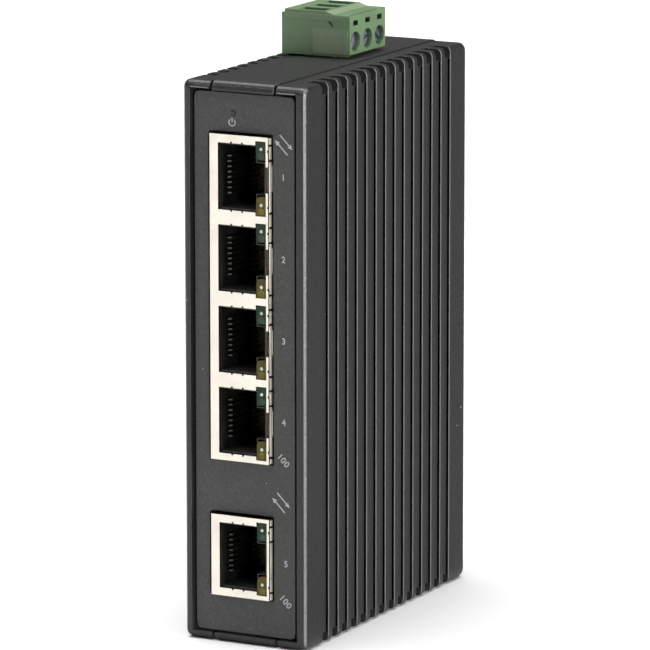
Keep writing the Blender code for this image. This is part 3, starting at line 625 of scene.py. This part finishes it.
def jack_lamps():
    """The moulded domes, pale as a painted glint, and the lighter cores in the lamp lenses."""
    domes = Shape()
    cores = {"green": Shape(), "yellow": Shape()}
    for number in range(1, PORT_COUNT + 1):
        for colour, core in cores.items():
            lens = shop_box(f"led_{colour}_{number}")
            across = middle_of(lens[0]) + LAMP_SHIFT
            front = lens[1][0]
            low, high = lens[2]
            middle = (across, low + DOME_HEIGHT[colour] * (high - low))
            domes.turned(middle, [(radius, front + y) for radius, y in DOME], DOME_SIDES)
            core.prism(1, [(across + x, low + z) for x, z in CORE], *(front + y for y in CORE_DEPTH))
    domes.place("lamp_domes", GLINT, SWITCH)
    cores["green"].place("lamp_cores_green", GREEN_CORE, SWITCH)
    cores["yellow"].place("lamp_cores_yellow", YELLOW_CORE, SWITCH)


# The power lamp's cap, as (radius, y behind the plate's face): a ring round a low dome.
CAP = [(0.56, 0.2), (0.56, 0.06), (0.46, 0.02), (0.40, 0.06), (0.34, 0.01), (0.1, -0.03)]
CAP_SIDES = 20


def power_lamp_cap():
    shape = Shape()
    shape.turned(LAMP_MIDDLE, [(radius, PLATE_FACE + y) for radius, y in CAP], CAP_SIDES)
    shape.place("power_lamp_cap", LAMP_CAP, SWITCH)


shield_fingers()
jack_lamps()
power_lamp_cap()

# ---------------------------------------------------------------- case

# The shadow's section, as (x into the side, y past the groove's end).
SHADOW = [(0.36, -0.35), (0.33, -0.35), (0.33, -0.03), (0.15, -0.03), (0.15, 0.01), (0.36, 0.01)]
# The lip's section, as (y, z from the case's top), and the stretches of the rim that carry it.
LIP = [(0.05, -1.44), (-0.1, -1.41), (-0.12, -1.35), (0.05, -1.18)]
LIP_SPANS = ((1.75, 5.6), (20.4, 24.3))


def rib_shadows(side, face, inward):
    """A near-black sheet of painted shadow where each groove of a side meets the next rib."""
    shape = Shape()
    for end in GROOVE_ENDS:
        shape.prism(2, [(face + inward * x, end + y) for x, y in SHADOW], RIB_BOTTOM, RIB_TOP)
    shape.place(f"rib_shade_lines_{side}", SHADOW_FILM, SWITCH)


def rim_lips():
    """The lip under the top of the front rim."""
    shape = Shape()
    for start, end in LIP_SPANS:
        shape.prism(0, [(y, CASE_TOP + z) for y, z in LIP], start, end)
    shape.place("rim_lips", SHELL, SWITCH)


rib_shadows("right", CASE_RIGHT, -1)
rib_shadows("left", 0.0, 1)
rim_lips()

# ---------------------------------------------------------------- the green plug

PLUG_X, PLUG_Y, _ = shop_box("plug_housing")
PLUG_FACE = PLUG_Y[0]
# How far a detail's hidden back is sunk behind the plug's face.
SINK = 0.05
# The top of the plug's low part, to the right of its step.
LOW_TOP = 117.55


def from_face(near, far):
    """A stretch of y from one distance behind the plug's face to another."""
    return PLUG_FACE + near, PLUG_FACE + far


def plug_ledge():
    """The ledge under the top of the face, the foot along its bottom and the ejector pin's ring."""
    ledge_x = (3.2, PLUG_X[1] - 0.15)
    ledge_z = (116.4, LOW_TOP - 0.1)
    foot_x = (PLUG_X[0] + 0.1, PLUG_X[1] - 0.1)
    foot_z = (109.5, 109.8)
    pin_ring = band((4.55, 112.85), 0.5, 0.36, start=0, end=340)
    shape = Shape()
    shape.block(ledge_x, from_face(-0.06, SINK), ledge_z)
    shape.block(foot_x, from_face(-0.12, SINK), foot_z)
    shape.prism(1, pin_ring, *from_face(-0.04, 0.02))
    shape.place("plug_ledge", TERMINAL, PLUG, bevel=0.02)


def plug_panel():
    """The raised marking panel, and the slope from the tall part's top down to the low part's."""
    panel_x = (9.25, 16.9)
    panel_z = (109.95, 114.9)
    slope = [(12.0, 118.15), (13.7, LOW_TOP + 0.02), (12.0, LOW_TOP + 0.02)]
    wall = 0.36
    shape = Shape()
    shape.block(panel_x, from_face(-0.1, SINK), panel_z)
    shape.prism(1, slope, PLUG_FACE + wall, PLUG_Y[1] - wall)
    shape.place("plug_panel", PALE_GREEN, PLUG, bevel=0.03)


def plug_dark_lines():
    """The moulded arrow head on the face, and a dark strip of painted shade for the groove beside the right
    edge of the top.
    """
    arrow = [(12.5, 116.3), (13.3, 116.2), (13.8, 115.2), (13.1, 115.7)]
    groove_x = (PLUG_X[1] - 0.34, PLUG_X[1] - 0.08)
    groove_z = (LOW_TOP - 0.02, LOW_TOP + 0.02)
    shape = Shape()
    shape.prism(1, arrow, *from_face(-0.09, 0.02))
    # Painted shade: a thin dark green strip stands for the shaded groove.
    shape.block(groove_x, from_face(0.3, 11.8), groove_z)
    shape.place("plug_dark_lines", DARK_GREEN, PLUG)


plug_ledge()
plug_panel()
plug_dark_lines()

# ---------------------------------------------------------------- stage, in metres

FLOOR_HALF = 6.0
FLOOR_GAP = 0.0002
FLAG_HALF = 1.5
FLAG_STRETCH = 2
FLAG_GAP = 0.002
FLAG_FADE = 0.6
WALL_RADIUS = 5.9
WALL_HEIGHT = 8.0


def staged(name, grown, material):
    """Something that stands round the object and isn't part of it."""
    mesh = bpy.data.meshes.new(name)
    grown.to_mesh(mesh)
    grown.free()
    mesh.materials.append(material)
    made = bpy.data.objects.new(name, mesh)
    bpy.context.scene.collection.objects.link(made)
    return made


def flat_sheet(half):
    grown = bmesh.new()
    bmesh.ops.create_grid(grown, x_segments=1, y_segments=1, size=half)
    return grown


def add_floor():
    """Pale paper under the case."""
    paper = Paint("floor_paper", roughness=0.9, specular=0.1)
    paper.feed("Base Color", paper.mix(paper.noise(scale=3.0), grey(0.78), grey(0.80)))
    floor = staged("floor", flat_sheet(FLOOR_HALF), paper.material)
    floor.location.z = CORNER.z - FLOOR_GAP


def add_flag():
    """Grey paper beyond the right side, seen only in reflections, that keeps the floor out of its sheen."""
    felt = Paint("flag_paper", roughness=1.0, specular=0.0)
    near = felt.remap(felt.split(felt.place)["X"], -FLAG_HALF, FLAG_FADE - FLAG_HALF)
    felt.feed("Base Color", felt.mix(near, grey(0.20), grey(0.03)))
    flag = staged("flag", flat_sheet(FLAG_HALF), felt.material)
    middle = at(CASE_RIGHT, 0.0, 0.0) + Vector((FLAG_HALF + FLAG_GAP, 0.0, FLOOR_GAP))
    flag.matrix_world = Matrix.Translation(middle) @ Matrix.Diagonal((1, FLAG_STRETCH, 1, 1))
    flag.visible_camera = False
    flag.visible_diffuse = False
    flag.visible_shadow = False


def add_wall():
    """A white wall far round the floor, seen past it from low angles. It lights nothing."""
    paper = Paint("wall_paper", roughness=1.0, specular=0.0)
    paper.feed("Emission Color", paper.mix(paper.noise(scale=2.0), grey(0.97), grey(1.0)))
    paper.shader.inputs["Emission Strength"].default_value = 1.0
    grown = bmesh.new()
    bmesh.ops.create_cone(grown, segments=64, radius1=WALL_RADIUS, radius2=WALL_RADIUS, depth=WALL_HEIGHT)
    wall = staged("wall", grown, paper.material)
    wall.visible_diffuse = False
    wall.visible_glossy = False
    wall.visible_transmission = False
    wall.visible_shadow = False


add_floor()
add_flag()
add_wall()

# ---------------------------------------------------------------- light

SKY_STRENGTH = 0.12
LIT_POINT = Vector((0.0, 0.0, 0.055))
LAMP_DISTANCE = 1.5


def add_sky():
    world = bpy.data.worlds.new("studio")
    world.use_nodes = True
    background = world.node_tree.nodes["Background"]
    background.inputs["Color"].default_value = (1.0, 1.0, 1.0, 1.0)
    background.inputs["Strength"].default_value = SKY_STRENGTH
    bpy.context.scene.world = world


def lamp(name, kind, towards, strength, **shape):
    """A light that shines on the middle of the case from this direction."""
    data = bpy.data.lights.new(name, kind)
    data.energy = strength
    for key, value in shape.items():
        setattr(data, key, value)
    made = bpy.data.objects.new(name, data)
    way = Vector(towards).normalized()
    made.location = LIT_POINT + way * LAMP_DISTANCE
    made.rotation_euler = way.to_track_quat("Z", "Y").to_euler()
    bpy.context.scene.collection.objects.link(made)
    return made


add_sky()
lamp("overhead", "SUN", towards=(-0.1, -0.02, 1.0), strength=4.6, angle=math.radians(60))
lamp("side_key", "SUN", towards=(1.0, -0.03, 0.2), strength=3.3, angle=math.radians(20))
edge_light = lamp("edge_light", "SUN", towards=(0.74, -0.67, 0.035), strength=4.5, angle=math.radians(6))
edge_light.visible_diffuse = False
card = {"shape": "RECTANGLE", "size": 1.2, "size_y": 0.16}
lamp("front_card", "AREA", towards=(-0.5, -0.85, 0.0), strength=0.62, **card)

# ---------------------------------------------------------------- camera

CAMERA_PLACE = Vector((0.48859, -0.93733, 0.26729))
CAMERA_RIGHT = Vector((0.88597, 0.46374, -0.00070))
CAMERA_UP = Vector((-0.09030, 0.17400, 0.98060))
SENSOR_WIDTH = 36.0
FOCAL_LENGTH = 303.9
FAR_CLIP = 20.0

camera = bpy.data.objects.new("camera", bpy.data.cameras.new("camera"))
camera.data.sensor_width = SENSOR_WIDTH
camera.data.lens = FOCAL_LENGTH
camera.data.clip_end = FAR_CLIP
axes = Matrix((CAMERA_RIGHT, CAMERA_UP, CAMERA_RIGHT.cross(CAMERA_UP))).transposed().to_4x4()
camera.matrix_world = Matrix.Translation(CAMERA_PLACE) @ axes
bpy.context.scene.collection.objects.link(camera)
bpy.context.scene.camera = camera
bpy.context.scene.view_settings.view_transform = "Standard"
